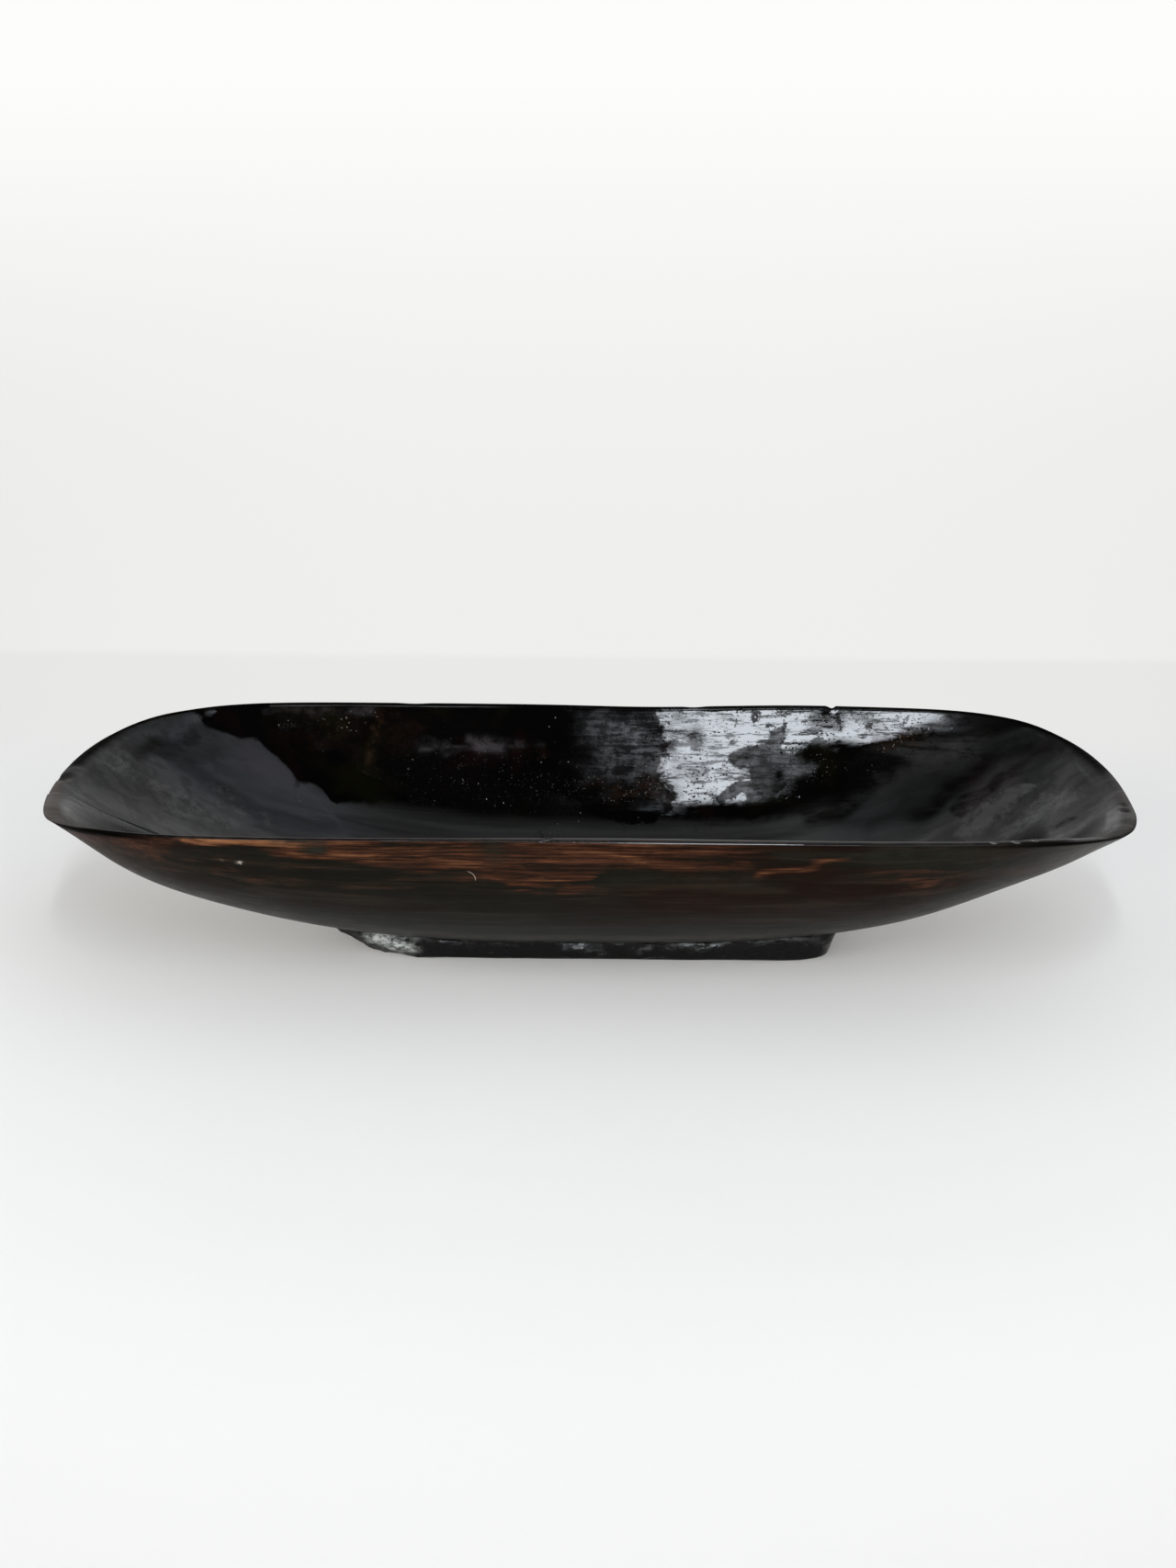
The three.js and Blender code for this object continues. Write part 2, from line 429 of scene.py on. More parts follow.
def hull_grid():
    """Rings over the outside, the rim's crown and the inside, in that order."""
    along, side = stations(HULL_STATIONS)
    outer_levels = ring_levels(OUTER_RINGS)
    inner_levels = ring_levels(INNER_RINGS)[::-1]
    outer = np.array([lift_rim(OUTSIDE.ring(along, side, level), side, level) for level in outer_levels])
    inner = np.array([lift_rim(INSIDE.ring(along, side, level), side, level) for level in inner_levels])

    across_rim = (outer[-1] - inner[0]) * [1, 1, 0]
    cad_wall = np.linalg.norm(across_rim, axis=-1, keepdims=True)
    outward = across_rim / cad_wall
    thinner = cad_wall - wall_at_rim(outer[-1, :, 0], side)[:, None]
    inner = inner + outward * thinner * smooth(inner_levels, 0.45, 1.0)[:, None, None]
    inner = inner - outward * corner_ease(inner, inner_levels[:, None])[..., None]

    crown = []
    for k in range(1, CROWN_RINGS + 1):
        across = (1 - math.cos(math.pi * k / (CROWN_RINGS + 1))) / 2
        bow = math.sqrt(1 - abs(2 * across - 1) ** CROWN_POWER)
        ring = mix(outer[-1], inner[0], across)
        ring[:, 2] += crown_height(along) * bow
        crown.append(ring)

    # At the tips the rim is a rounded lip that runs into the inside without an edge.
    at_tips = smooth(np.abs(outer[-1, :, 0]), *LIP_SETS_IN)
    strip = np.concatenate([outer[-1:], crown, inner[:LIP_RINGS]])
    rings_left = np.arange(len(strip) - 1, -1, -1)
    reach = np.minimum(1, rings_left / LIP_FADE_RINGS)[:, None, None] * at_tips[:, None]
    for _ in range(LIP_ROUNDS):
        between = strip.copy()
        between[1:-1] = (strip[:-2] + strip[2:]) / 2
        strip = mix(strip, between, LIP_STEP * reach)
    crown = strip[1:1 + CROWN_RINGS]
    inner[:LIP_RINGS] = strip[1 + CROWN_RINGS:]
    return outer, crown, inner


def hull_relief(points, normals, is_inside, is_outside):
    """How far each point of the hull stands off its even form, along its normal."""
    x, y, z = points[..., 0], points[..., 1], points[..., 2]
    height = z / SIDE_RIM_HEIGHT

    relief = unevenness(points, HAND_WAVES) * (0.35 + 0.65 * smooth(np.abs(normals[..., 2]), 0.99, 0.6))

    # The belly is fuller on the left than on the right, and the right tip is blunt in front.
    low = smooth(height, 0.95, 0.45)
    belly = 0.0024 * hill(x, -0.285, 0.05) * low - 0.0028 * hill(x, 0.265, 0.045) * low
    belly = belly + 0.0022 * smooth(x, 0.315, 0.345) * smooth(y, 0.02, -0.02)
    relief = relief + is_outside * belly

    # Wide hollows of the adze across both ends of the inside, lying aslant
    aslant_right = (x - 0.285) * 0.8 - (y - 0.02) * 0.6
    aslant_left = (x + 0.285) * 0.8 + (y - 0.02) * 0.6
    right_wave = np.sin(aslant_right * 2 * np.pi / 0.058 + 1.2 * ripples(points, 0.12, seed=6))
    left_wave = np.sin(aslant_left * 2 * np.pi / 0.075 + 1.5 * ripples(points, 0.12, seed=7))
    ends = 0.0009 * right_wave * smooth(x, 0.2, 0.27) + 0.0006 * left_wave * smooth(x, -0.2, -0.27)
    relief = relief + is_inside * ends * smooth(height, 1.0, 0.85)

    # Short strokes of the scraper along the walls
    strokes = 0.00003 * ripples(points, (0.045, 0.01, 0.01), seed=8) * smooth(height, 0.25, 0.5)
    return relief + is_inside * strokes


def hull_mesh():
    outer, crown, inner = hull_grid()
    grid = np.concatenate([outer, crown, inner])
    ring = np.arange(len(grid))[:, None]
    is_outside = (ring < len(outer)).astype(float)
    is_inside = (ring >= len(outer) + len(crown)).astype(float)
    normals = surface_normals(grid)
    grid = grid + normals * hull_relief(grid, normals, is_inside, is_outside)[..., None]

    rim_top = crown[..., 2].max(axis=0)
    for x, y, radius, depth in np.array(RIM_NICKS) * MM:
        distance = np.hypot(grid[..., 0] - x, grid[..., 1] - y)
        near_rim = smooth(rim_top - grid[..., 2], 4 * depth, 0)
        grid[..., 2] -= depth * np.maximum(0, 1 - (distance / radius) ** 2) ** 1.5 * near_rim
    for *centre, radius, depth in np.array(PITS) * MM:
        distance = np.linalg.norm(grid - centre, axis=-1)
        grid = grid - normals * (depth * np.maximum(0, 1 - (distance / radius) ** 2))[..., None]

    first = outer[0].mean(axis=0)
    first[2] = OUTSIDE.lowest
    last = inner[-1].mean(axis=0)
    last[2] = grid[-1, :, 2].mean()
    mesh = closed_loft("bowl_hull_carved", first, grid, last)

    # The lacquer of the inside runs over the rim, and the outside is another finish.
    finishes = np.ones(len(mesh.polygons), int)
    finishes[:HULL_STATIONS * len(outer)] = 0
    mesh.polygons.foreach_set("material_index", finishes)
    return mesh


# The lower edge (x, z) of the rust-brown band under the rim, where the stain is thin
BAND_EDGE = [
    (-275, 114), (-259, 111), (-228, 107), (-193, 103), (-137, 93), (-81, 91), (-62, 86), (-43, 79),
    (-21, 77), (2, 83), (9, 91), (85, 91), (105, 94), (125, 106), (150, 114),
]

# Strokes of colour outside, as seen on the wall: start (x, z), end (x, z), width and strength
RUST_STROKES = [
    (-244, 112, -186, 110.5, 5.2, 1.7),
    (-262, 112, -240, 112, 3.0, 1.0),
    (-335, 96, -262, 104, 14.0, 0.52),
    (-300, 88, -200, 90, 13.0, 0.36),
    (-185, 107, -122, 100, 4.0, 0.95),
    (-150, 111, -95, 108, 3.0, 0.8),
    (-125, 100, -65, 96, 4.2, 0.9),
    (-47, 78, -35, 84, 2.4, 0.78),
    (-35, 84, -21, 85, 2.4, 0.78),
    (-21, 85, -9, 77, 2.4, 0.7),
    (-45, 75, -28, 73, 2.0, 0.6),
    (-15, 74, 4, 76, 3.0, 0.55),
    (-10, 106, 36, 101, 8.5, 0.8),
    (36, 101, 100, 97, 7.0, 0.62),
    (106, 88, 132, 95, 3.4, 0.95),
    (132, 95, 162, 105, 3.0, 0.75),
    (-240, 95, -70, 80, 15.0, 0.24),
    (-70, 76, 60, 72, 10.0, 0.16),
    (180, 90, 232, 80, 12.0, 0.4),
    (210, 97, 295, 88, 15.0, 0.36),
    (195, 74, 222, 74, 8.0, 0.28),
    (-320, 96, -270, 98, 8.0, 0.3),
]
ASH_STROKES = [
    (-190, 110.5, -160, 110, 2.6, 0.9),
    (-57, 112, -54, 102, 6.5, 0.35),
    (120, 108, 165, 108, 4.0, 0.4),
    (20, 85, 100, 84, 7.0, 0.35),
    (180, 105, 250, 104, 9.0, 0.6),
    (290, 90, 335, 96, 10.0, 0.8),
    (-335, 85, -280, 60, 12.0, 0.7),
]
# A pale chip and a smaller one beside it, in front only
PALE_STROKES = [
    (-213, 93, -211.2, 93.4, 0.9, 1.0),
    (-224.5, 95.5, -223.5, 95.5, 0.5, 0.7),
]

# Patches on the inside by what they do there: centre, half sizes and strength
WIDE_PATCHES = {
    # The lacquer is rougher.
    "dull": [
        (120, 104, 76, 20, 30, 14, 1.0),
        (20, 104, 80, 24, 30, 22, 0.7),
        (-76, 108, 88, 45, 12, 3, 0.6),
        (206, 100, 85, 34, 20, 6, 0.5),
    ],
    # Brown wood shows through the black.
    "bare": [
        (-144, 110, 92, 6, 30, 13, 1.0),
        (-180, 112, 96, 34, 30, 16, 0.22),
        (-130, 114, 99, 22, 30, 12, 0.22),
        (-40, 107, 87, 14, 30, 8, 0.3),
        (202, 110, 97, 18, 30, 7, 1.0),
        (30, 96, 66, 26, 30, 8, 0.6),
    ],
    # The back wall is scratched and pitted.
    "scuffed": [
        (130, 110, 100, 130, 40, 24, 1.0),
        (70, 100, 75, 70, 40, 25, 1.0),
    ],
    # Dust sparkles, also painted pale as glints.
    "sparkle": [
        (24, 96, 67, 26, 30, 10, 1.0),
        (198, 109, 96, 15, 30, 8, 1.0),
        (-170, 114, 102, 30, 30, 4, 0.8),
        (-60, 100, 74, 60, 30, 14, 0.3),
        (160, 100, 78, 30, 30, 6, 0.6),
    ],
    # Fewer scratches are left.
    "clear": [
        (78, 105, 88, 22, 50, 28, 0.3),
        (190, 115, 107, 30, 40, 6, 0.15),
    ],
}
# Blots without gloss, on the back wall
BLOTS = [
    (-36, 105, 100, 35, 60, 36, 1.0),
    (20, 98, 61, 34, 60, 12, 0.85),
    (15, 119, 110, 32, 60, 6, 0.75),
    (72, 108, 88, 2.2, 10, 1.6, 0.8),
    (95, 111, 92, 2.0, 10, 1.6, 0.9),
    (78, 100, 76, 2.0, 10, 2.2, 0.8),
    (127, 99, 74, 3.6, 10, 3.4, 1.0),
    (90, 88, 54.5, 50, 30, 5, 1.0),
    (145, 95, 68, 26, 30, 5, 0.9),
    (104, 105, 84, 5.0, 10, 1.4, 0.8),
    (150, 112, 100, 6.0, 10, 1.2, 0.8),
    (153, 106, 86, 17, 30, 7, 1.0),
    (170, 108, 90, 14, 30, 5, 1.0),
    (60, 110, 98, 5.0, 10, 1.2, 0.8),
]
# Veils over the highlight
VEILS = [
    (8, 105, 87, 44, 60, 30, 1.0),
    (20, 100, 62, 34, 60, 16, 1.0),
    (12, 118, 109, 34, 60, 8, 1.0),
    (123, 102, 79, 21, 60, 15, 1.0),
    (108, 95, 62, 20, 60, 7.5, 1.0),
    (158, 104, 82, 16, 60, 10, 1.0),
]

# A band without gloss along the ridge of the left corner: height, and where it begins and ends along X
RIDGE_BAND = [
    (56, -160, -118),
    (62, -176, -124),
    (69, -192, -140),
    (76, -204, -156),
    (89, -222, -184),
    (100, -245, -206),
    (112, -268, -224),
]

# Smudges on the back wall: start (x, z), end (x, z), width and strength
SMUDGES = [
    (-115, 87, -97, 88.5, 2.0, 0.55),
    (-97, 88, -80, 88, 1.0, 0.35),
    (-82, 93, -74, 92, 2.2, 0.6),
    (-76, 90, -60, 88, 3.4, 0.7),
    (-62, 89, -46, 90, 2.0, 0.45),
    (-46, 90, -33, 90, 1.2, 0.25),
    (-200, 109.5, -150, 108.5, 2.6, 0.3),
    (-222, 109, -206, 111, 1.6, 0.3),
    (193, 72, 221, 85, 4.5, 0.2),
    (221, 85, 245, 93, 4.5, 0.2),
    (226, 99, 236, 108, 1.0, 0.9),
    (246, 109, 250, 111, 1.2, 0.9),
    (0, 109, 10, 110, 1.6, 0.4),
]

# Dark smears and lighter grey streaks at the inside's ends, in plan: start (x, y), end (x, y), width,
# strength
SMEARS = [
    (244, 58, 283, 77, 5.0, 1.0),
    (222, 66, 268, 92, 12.0, 0.8),
    (262, 92, 290, 94, 10.0, 0.6),
    (283, 76, 305, 92, 6.0, 0.6),
    (301, -1, 316, 5, 3.0, 1.0),
    (288, -6, 301, -1, 3.0, 0.6),
    (262, 20, 300, 30, 6.0, 0.35),
    (-306, 76, -288, 92, 7.5, 0.7),
    (-294, 86, -270, 98, 8.0, 0.6),
    (-275, 84, -248, 72, 11.0, 0.4),
    (-330, 52, -319, 45, 2.2, 0.5),
    (-336, 4, -322, -14, 1.8, 0.5),
    (-330, 12, -310, -12, 1.6, 0.45),
    (-300, 50, -262, 30, 7.0, 0.3),
    (150, 74, 200, 98, 9.0, 0.85),
    (185, 60, 215, 82, 6.0, 0.4),
]
LIGHT_STREAKS = [
    (249, 43, 266, 50, 12.0, 0.9),
    (266, 53, 288, 60, 7.0, 0.9),
    (293, 36, 313, 36, 11.0, 0.75),
    (270, 22, 284, 30, 6.0, 0.6),
    (-323, 64, -240, 44, 11.0, 0.45),
    (-272, 36, -256, 42, 8.0, 0.6),
    (-250, 70, -215, 55, 10.0, 0.35),
]


def stroke_mask(x, z, strokes):
    """How strongly any of the strokes lies on each point of a wall or a plan."""
    x, z = x / MM, z / MM
    mask = np.zeros_like(x)
    for x0, z0, x1, z1, width, strength in strokes:
        run = (x1 - x0) ** 2 + (z1 - z0) ** 2
        share = np.clip(((x - x0) * (x1 - x0) + (z - z0) * (z1 - z0)) / run, 0, 1)
        distance = np.hypot(x - mix(x0, x1, share), z - mix(z0, z1, share))
        mask = np.maximum(mask, strength * hill(distance, 0, width))
    return mask


def patch_mask(points, patches, softness=0.5):
    """How strongly any of the patches lies on each point, from 0 to 1."""
    mask = np.zeros(len(points))
    for *place, strength in patches:
        away = np.linalg.norm((points / MM - place[:3]) / place[3:], axis=1)
        mask = np.maximum(mask, strength * smooth(away, 1 + softness, 1 - softness))
    return mask


def paint_outside(mesh, points):
    """Stores the stains and chips. The back has the front's stains the other way round."""
    in_front = points[:, 1] < 0
    x = np.where(in_front, points[:, 0], -points[:, 0])
    z = points[:, 2] + 0.0035 * ripples(points, (0.05, 0.02, 0.02), seed=12)
    edge_places, edge_heights = (np.array(BAND_EDGE) * MM).T
    band = 0.6 * smooth(z - np.interp(x, edge_places, edge_heights), -0.0025, 0.0025)
    band = band * smooth(x, -0.275, -0.24) * smooth(x, 0.17, 0.06)
    store(mesh, "rust", np.maximum(band, stroke_mask(x, z, RUST_STROKES)))
    store(mesh, "ash", stroke_mask(x, z, ASH_STROKES))
    store(mesh, "pale", stroke_mask(x, points[:, 2], PALE_STROKES) * in_front)


def paint_inside(mesh, points):
    """Stores the patches, blots, smudges and smears of the lacquer."""
    wide = wandered(points, 0.004, 0.03, (13, 14, 15))
    for name, patches in WIDE_PATCHES.items():
        store(mesh, name, patch_mask(wide, patches))
    store(mesh, "veil", patch_mask(wide, VEILS, softness=0.2))
    store(mesh, "matte", patch_mask(wandered(points, 0.0008, 0.006, (16, 17, 18)), BLOTS))
    store(mesh, "smear", stroke_mask(wide[:, 0], wide[:, 1], SMEARS))
    store(mesh, "light_streak", stroke_mask(wide[:, 0], wide[:, 1], LIGHT_STREAKS))

    heights, starts, ends = (np.array(RIDGE_BAND) * MM).T
    x, z = wide[:, 0], wide[:, 2]
    ridge = smooth(x - np.interp(z, heights, starts), -0.004, 0.004)
    ridge = ridge * smooth(np.interp(z, heights, ends) - x, -0.004, 0.004)
    store(mesh, "ridge", ridge * smooth(points[:, 2], 0.055, 0.061) * (points[:, 1] > 0.03))

    ragged = wandered(points, 0.0011, (0.016, 0.009, 0.007), (19, 27, 28))
    store(mesh, "smudge", stroke_mask(ragged[:, 0], ragged[:, 2], SMUDGES) * (points[:, 1] > 0.05))


def paint_rim(mesh, points):
    """Stores the lip, where the finish of the rim differs, and a painted shade under it near both tips."""
    x, y, z = points.T
    above = z - rim_edge(np.minimum(1, np.abs(x) / HALF_LENGTH))
    at_tip = smooth(above, -0.0054, -0.001)
    behind = smooth(above, -0.0014, -0.0004)
    at_left = smooth(x, -0.2, -0.26)
    in_front = smooth(above - mix(0.0006, -0.0004, at_left), 0, 0.0005)
    store(mesh, "lip", mix(np.where(y < 0, in_front, behind), at_tip, smooth(np.abs(x), 0.29, 0.33)))

    outward = unit(points[:, :2] / [HALF_LENGTH ** 2, HALF_WIDTH ** 2])
    turned_out = (vertex_values(mesh, "normal")[:, :2] * outward).sum(axis=1)
    # Painted shade: a dark line just under the rim in front near both tips, where the lip's underside is in
    # shadow.
    under_rim = smooth(above, -0.004, -0.002) * smooth(turned_out, 0.3, 0.6)
    near_tips = np.maximum(smooth(x, -0.24, -0.29), smooth(x, 0.22, 0.29))
    store(mesh, "under_lip_shade", under_rim * near_tips * smooth(y, 0.03, 0.0))


def paint_hull(mesh):
    points = vertex_values(mesh, "co")
    paint_outside(mesh, points)
    paint_inside(mesh, points)
    paint_rim(mesh, points)


# Foot

# Facets planed along the front of the foot: x, height, depth, half length, and in degrees the turn to the
# right and the tilt upwards. One that tilts down also reaches the edge of the underside.
FRONT_FACETS = [
    (-129, 8.0, 2.0, 17, 3.0, 21),
    (-130, 1.5, 6.7, 50, -18, -36),
    (-92, 13.5, 0.8, 17, 2.0, 22),
    (-60, 5.0, 1.0, 20, -4, 4),
    (-2, 7.5, 1.0, 15, 0.5, 20),
    (24, 6.0, 0.8, 12, 6, 8),
    (39, 8.5, 0.9, 4.2, 0, 20),
    (71, 9.5, 1.0, 19, -0.8, 20),
    (100, 6.0, 0.8, 12, -5, 6),
    (125, 13.5, 0.8, 20, -2, 17),
    (150, 7.0, 1.2, 10, 10, 6),
]
# Where the coat gleams: start (x, z), end (x, z), width and strength
GLEAMS = [
    (-137, 15, -116, 8, 6.0, 1.0),
    (-126, 7, -108, 6, 2.6, 0.9),
    (-109, 15, -75, 11.5, 2.4, 0.55),
    (-60, 10.5, -45, 10, 1.0, 0.45),
    (-18, 11.5, -2, 10.5, 1.0, 1.0),
    (-8, 10, 12, 4, 1.6, 1.0),
    (19, 12, 30, 12.8, 1.0, 0.7),
    (34, 6.5, 42, 10, 1.2, 1.0),
    (52, 9, 75, 12.5, 2.0, 0.9),
    (68, 7, 92, 13, 1.7, 0.9),
    (105, 14.5, 145, 16, 1.6, 0.5),
    (148, 15, 156, 8, 2.2, 0.4),
]


def foot_outline(height, seam):
    """The foot's outline at a height for each station. Below the seam, its ends and sides slope in."""
    along, side = stations(FOOT_STATIONS)
    down = np.maximum(0, 1 - height / seam)
    length = FOOT_HALF_LENGTH - np.where(along < 0, LEFT_UNDERCUT, RIGHT_UNDERCUT) * down
    width = FOOT_HALF_WIDTH - SIDE_UNDERCUT * down
    power_along = np.where(along < 0, LEFT_FOOT_POWERS[0], RIGHT_FOOT_POWERS[0])
    power_across = np.where(along < 0, LEFT_FOOT_POWERS[1], RIGHT_FOOT_POWERS[1])
    return np.stack([length * along, side * width * width_share(along, power_along, power_across)], -1)


def foot_grid():
    """Rings of the underside, of the sides up to the seam and of the top that follows the belly."""
    seam_at_ends = float(BELLY.height_at(np.array([FOOT_HALF_LENGTH]), np.array([0.0]))[0])
    seam = np.full(FOOT_STATIONS, seam_at_ends)
    for _ in range(SEAM_ROUNDS):
        seam = BELLY.height_at(*foot_outline(seam, seam_at_ends).T)

    sides = []
    for k in range(FOOT_SIDE_RINGS + 1):
        height = mix(FOOT_EDGE_BEVEL, seam, k / FOOT_SIDE_RINGS)
        sides.append(np.column_stack([foot_outline(height, seam_at_ends), height]))
    under = []
    level = np.zeros(FOOT_STATIONS)
    for share in np.linspace(0.08, 1 - FOOT_EDGE_BEVEL / FOOT_HALF_WIDTH, FOOT_CAP_RINGS):
        under.append(np.column_stack([foot_outline(level, seam_at_ends) * share, level]))
    top = []
    for share in np.linspace(1, 0.05, FOOT_CAP_RINGS)[1:]:
        outline = sides[-1][:, :2] * share
        top.append(np.column_stack([outline, BELLY.height_at(*outline.T)]))
    return np.array(under), np.array(sides), np.array(top)


def foot_mesh():
    under, sides, top = foot_grid()
    points = np.concatenate([under, sides, top])
    normals = surface_normals(points)
    first_side, last_side = len(under), len(under) + len(sides)
    is_side = np.zeros((len(points), 1))
    is_side[first_side:last_side] = 1

    # Cuts all round, then the ones that show in front
    random = np.random.default_rng(21)
    for _ in range(KNIFE_CUTS):
        station = random.integers(FOOT_STATIONS)
        ring = random.integers(len(sides))
        outward = normals[first_side + ring, station] + [0, 0, random.uniform(*CUT_TILTS)]
        depth = random.uniform(*CUT_DEPTHS)
        cut = gouged(points, sides[ring, station], outward, depth, random.uniform(*CUT_RADII), stretch=1.5)
        points = np.where(is_side[..., None] > 0, cut, points)
    front = points[..., 1] < -0.6 * FOOT_HALF_WIDTH
    for *sizes, turn, tilt in FRONT_FACETS:
        x, height, depth, half_length = np.array(sizes) * MM
        centre = (x, -FOOT_HALF_WIDTH + SIDE_UNDERCUT / 2, height)
        cut = planed(points, centre, direction_of(turn, tilt), depth, half_length)
        reached = front if tilt < 0 else front & (is_side > 0)
        points = np.where(reached[..., None], cut, points)

    # The thick coat: an edge that is rounded off below the seam, lumps, and drips along the lower edge
    for ring, inset in ((last_side - 1, 0.0012), (last_side - 2, 0.0005), (last_side - 3, 0.0002)):
        points[ring] = points[ring] - normals[last_side - 4] * [inset, inset, 0]
    points = points + normals * (unevenness(points, COAT_LUMPS) * is_side)[..., None]
    drips = 0.0006 * smooth(ripples(points[first_side], (0.018, 0.02, 1), seed=24), 0.1, 0.9)
    points[first_side:first_side + 4, :, 2] += drips * [[1], [0.8], [0.5], [0.2]]
    points[first_side:last_side, :, 2] = np.minimum(points[first_side:last_side, :, 2], sides[-1][:, 2])

    # The worn underside, which never goes below the floor
    scrapes = 0.00025 * smooth(ripples(points[:first_side], (0.06, 0.012, 1), seed=25), 0.0, 1.0)
    points[:first_side, :, 2] += scrapes
    points[:last_side, :, 2] = np.maximum(points[:last_side, :, 2], 0)
    return closed_loft("foot_carved", points[0].mean(axis=0), points, (0, 0, BELLY.lowest))


def paint_foot(mesh):
    """Stores where the coat gleams, on its tilted facets in front."""
    points = vertex_values(mesh, "co")
    wobble = 0.0009 * ripples(points, (0.008, 0.008, 0.005), seed=26)
    gleam = stroke_mask(points[:, 0], points[:, 2] + wobble, GLEAMS)
    store(mesh, "gleam", gleam * (points[:, 1] < 0))


# Pegs

def peg_tool(node):
    """A plain cylinder round a peg, for its hole."""
    low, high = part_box(node)
    centre = (low + high) / 2
    radius = (high.x - low.x) / 2 + PEG_GAP
    angle = angles_round(PEG_SIDES)
    circle = np.stack([centre.x + radius * np.cos(angle), centre.y + radius * np.sin(angle)], 1)
    bottom, top = -high.z, high.z + PEG_GAP
    rings = [np.column_stack([circle, np.full(PEG_SIDES, z)]) for z in (bottom, 0.0, top)]
    mesh = closed_loft("drill", (centre.x, centre.y, bottom), rings, (centre.x, centre.y, top))
    return add_object("drill", mesh)


def peg_mesh(node, seed):
    """A whittled peg: flats along it, a bevel at its upper end and a saw-cut lower end with a check."""
    low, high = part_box(node)
    centre = (low + high) / 2
    radius = (high.x - low.x) / 2
    bevel = radius * PEG_BEVEL
    random = np.random.default_rng(seed)
    angle = angles_round(PEG_SIDES)
    phase = random.uniform(0, 2 * math.pi)
    flat = (angle + phase) % (2 * math.pi / PEG_FLATS) - math.pi / PEG_FLATS
    whittled = 1 - 0.6 * (1 - math.cos(math.pi / PEG_FLATS) / np.cos(flat))
    check = random.uniform(0, 2 * math.pi)

    rings = [(share, low.z) for share in (0.25, 0.5, 0.75, 0.9, 0.97)]
    rings += [(1.0, z) for z in np.linspace(low.z + 0.0002, high.z - bevel, 14)]
    for share in (0.93, 0.86, 0.8, 0.5, 0.2):
        rings.append((share, high.z - bevel * max(0, (share - 1 + PEG_BEVEL) / PEG_BEVEL)))
    points = []
    for share, z in rings:
        reach = radius * share * whittled
        x = centre.x + reach * np.cos(angle)
        y = centre.y + reach * np.sin(angle)
        height = np.full(PEG_SIDES, z)
        if z == low.z:
            saw = SAW_MARK_DEPTH * (1 + np.sin(x * 2 * math.pi / SAW_MARK_PITCH + seed))
            from_check = np.angle(np.exp(1j * (angle - check)))
            split = CHECK_DEPTH * hill(from_check, 0, CHECK_HALF_ANGLE) * share
            height = height + saw + split
        points.append(np.column_stack([x, y, height]))
    first = (centre.x, centre.y, low.z + 0.00008)
    return closed_loft(node + "_whittled", first, points, (centre.x, centre.y, high.z))


# Materials

def add_node(tree, kind, values=(), named=None, **settings):
    """Adds a node. An input given as a Value or a socket is linked, and any other is set."""
    made = tree.nodes.new("ShaderNode" + kind)
    for name, value in settings.items():
        setattr(made, name, value)
    for key, value in list(enumerate(values)) + list((named or {}).items()):
        if isinstance(value, Value):
            value = value.socket
        if isinstance(value, bpy.types.NodeSocket):
            tree.links.new(value, made.inputs[key])
        else:
            made.inputs[key].default_value = value
    return made


def add_value(tree, kind, values=(), named=None, output=0, **settings):
    """Adds a node, and gives the number that it works out."""
    return Value(tree, add_node(tree, kind, values, named, **settings).outputs[output])


class Value:
    """A number that a node works out. Sums, products and ramps of it add further nodes."""

    def __init__(self, tree, socket):
        self.tree = tree
        self.socket = socket

    def math(self, operation, *values):
        return add_value(self.tree, "Math", values, operation=operation)

    def __add__(self, other):
        return self.math("ADD", self, other)

    def __sub__(self, other):
        return self.math("SUBTRACT", self, other)

    def __rsub__(self, other):
        return self.math("SUBTRACT", other, self)

    def __mul__(self, other):
        return self.math("MULTIPLY", self, other)

    def __abs__(self):
        return self.math("ABSOLUTE", self)

    __radd__ = __add__
    __rmul__ = __mul__

    def larger(self, other):
        """This number or the other one, whichever is larger."""
        return self.math("MAXIMUM", self, other)

    def ramp(self, start, end, low=0.0, high=1.0):
        """From low at the start to high at the end, smoothly. The start may be the larger."""
        inputs = (self, start, end, low, high)
        return add_value(self.tree, "MapRange", inputs, interpolation_type="SMOOTHSTEP")


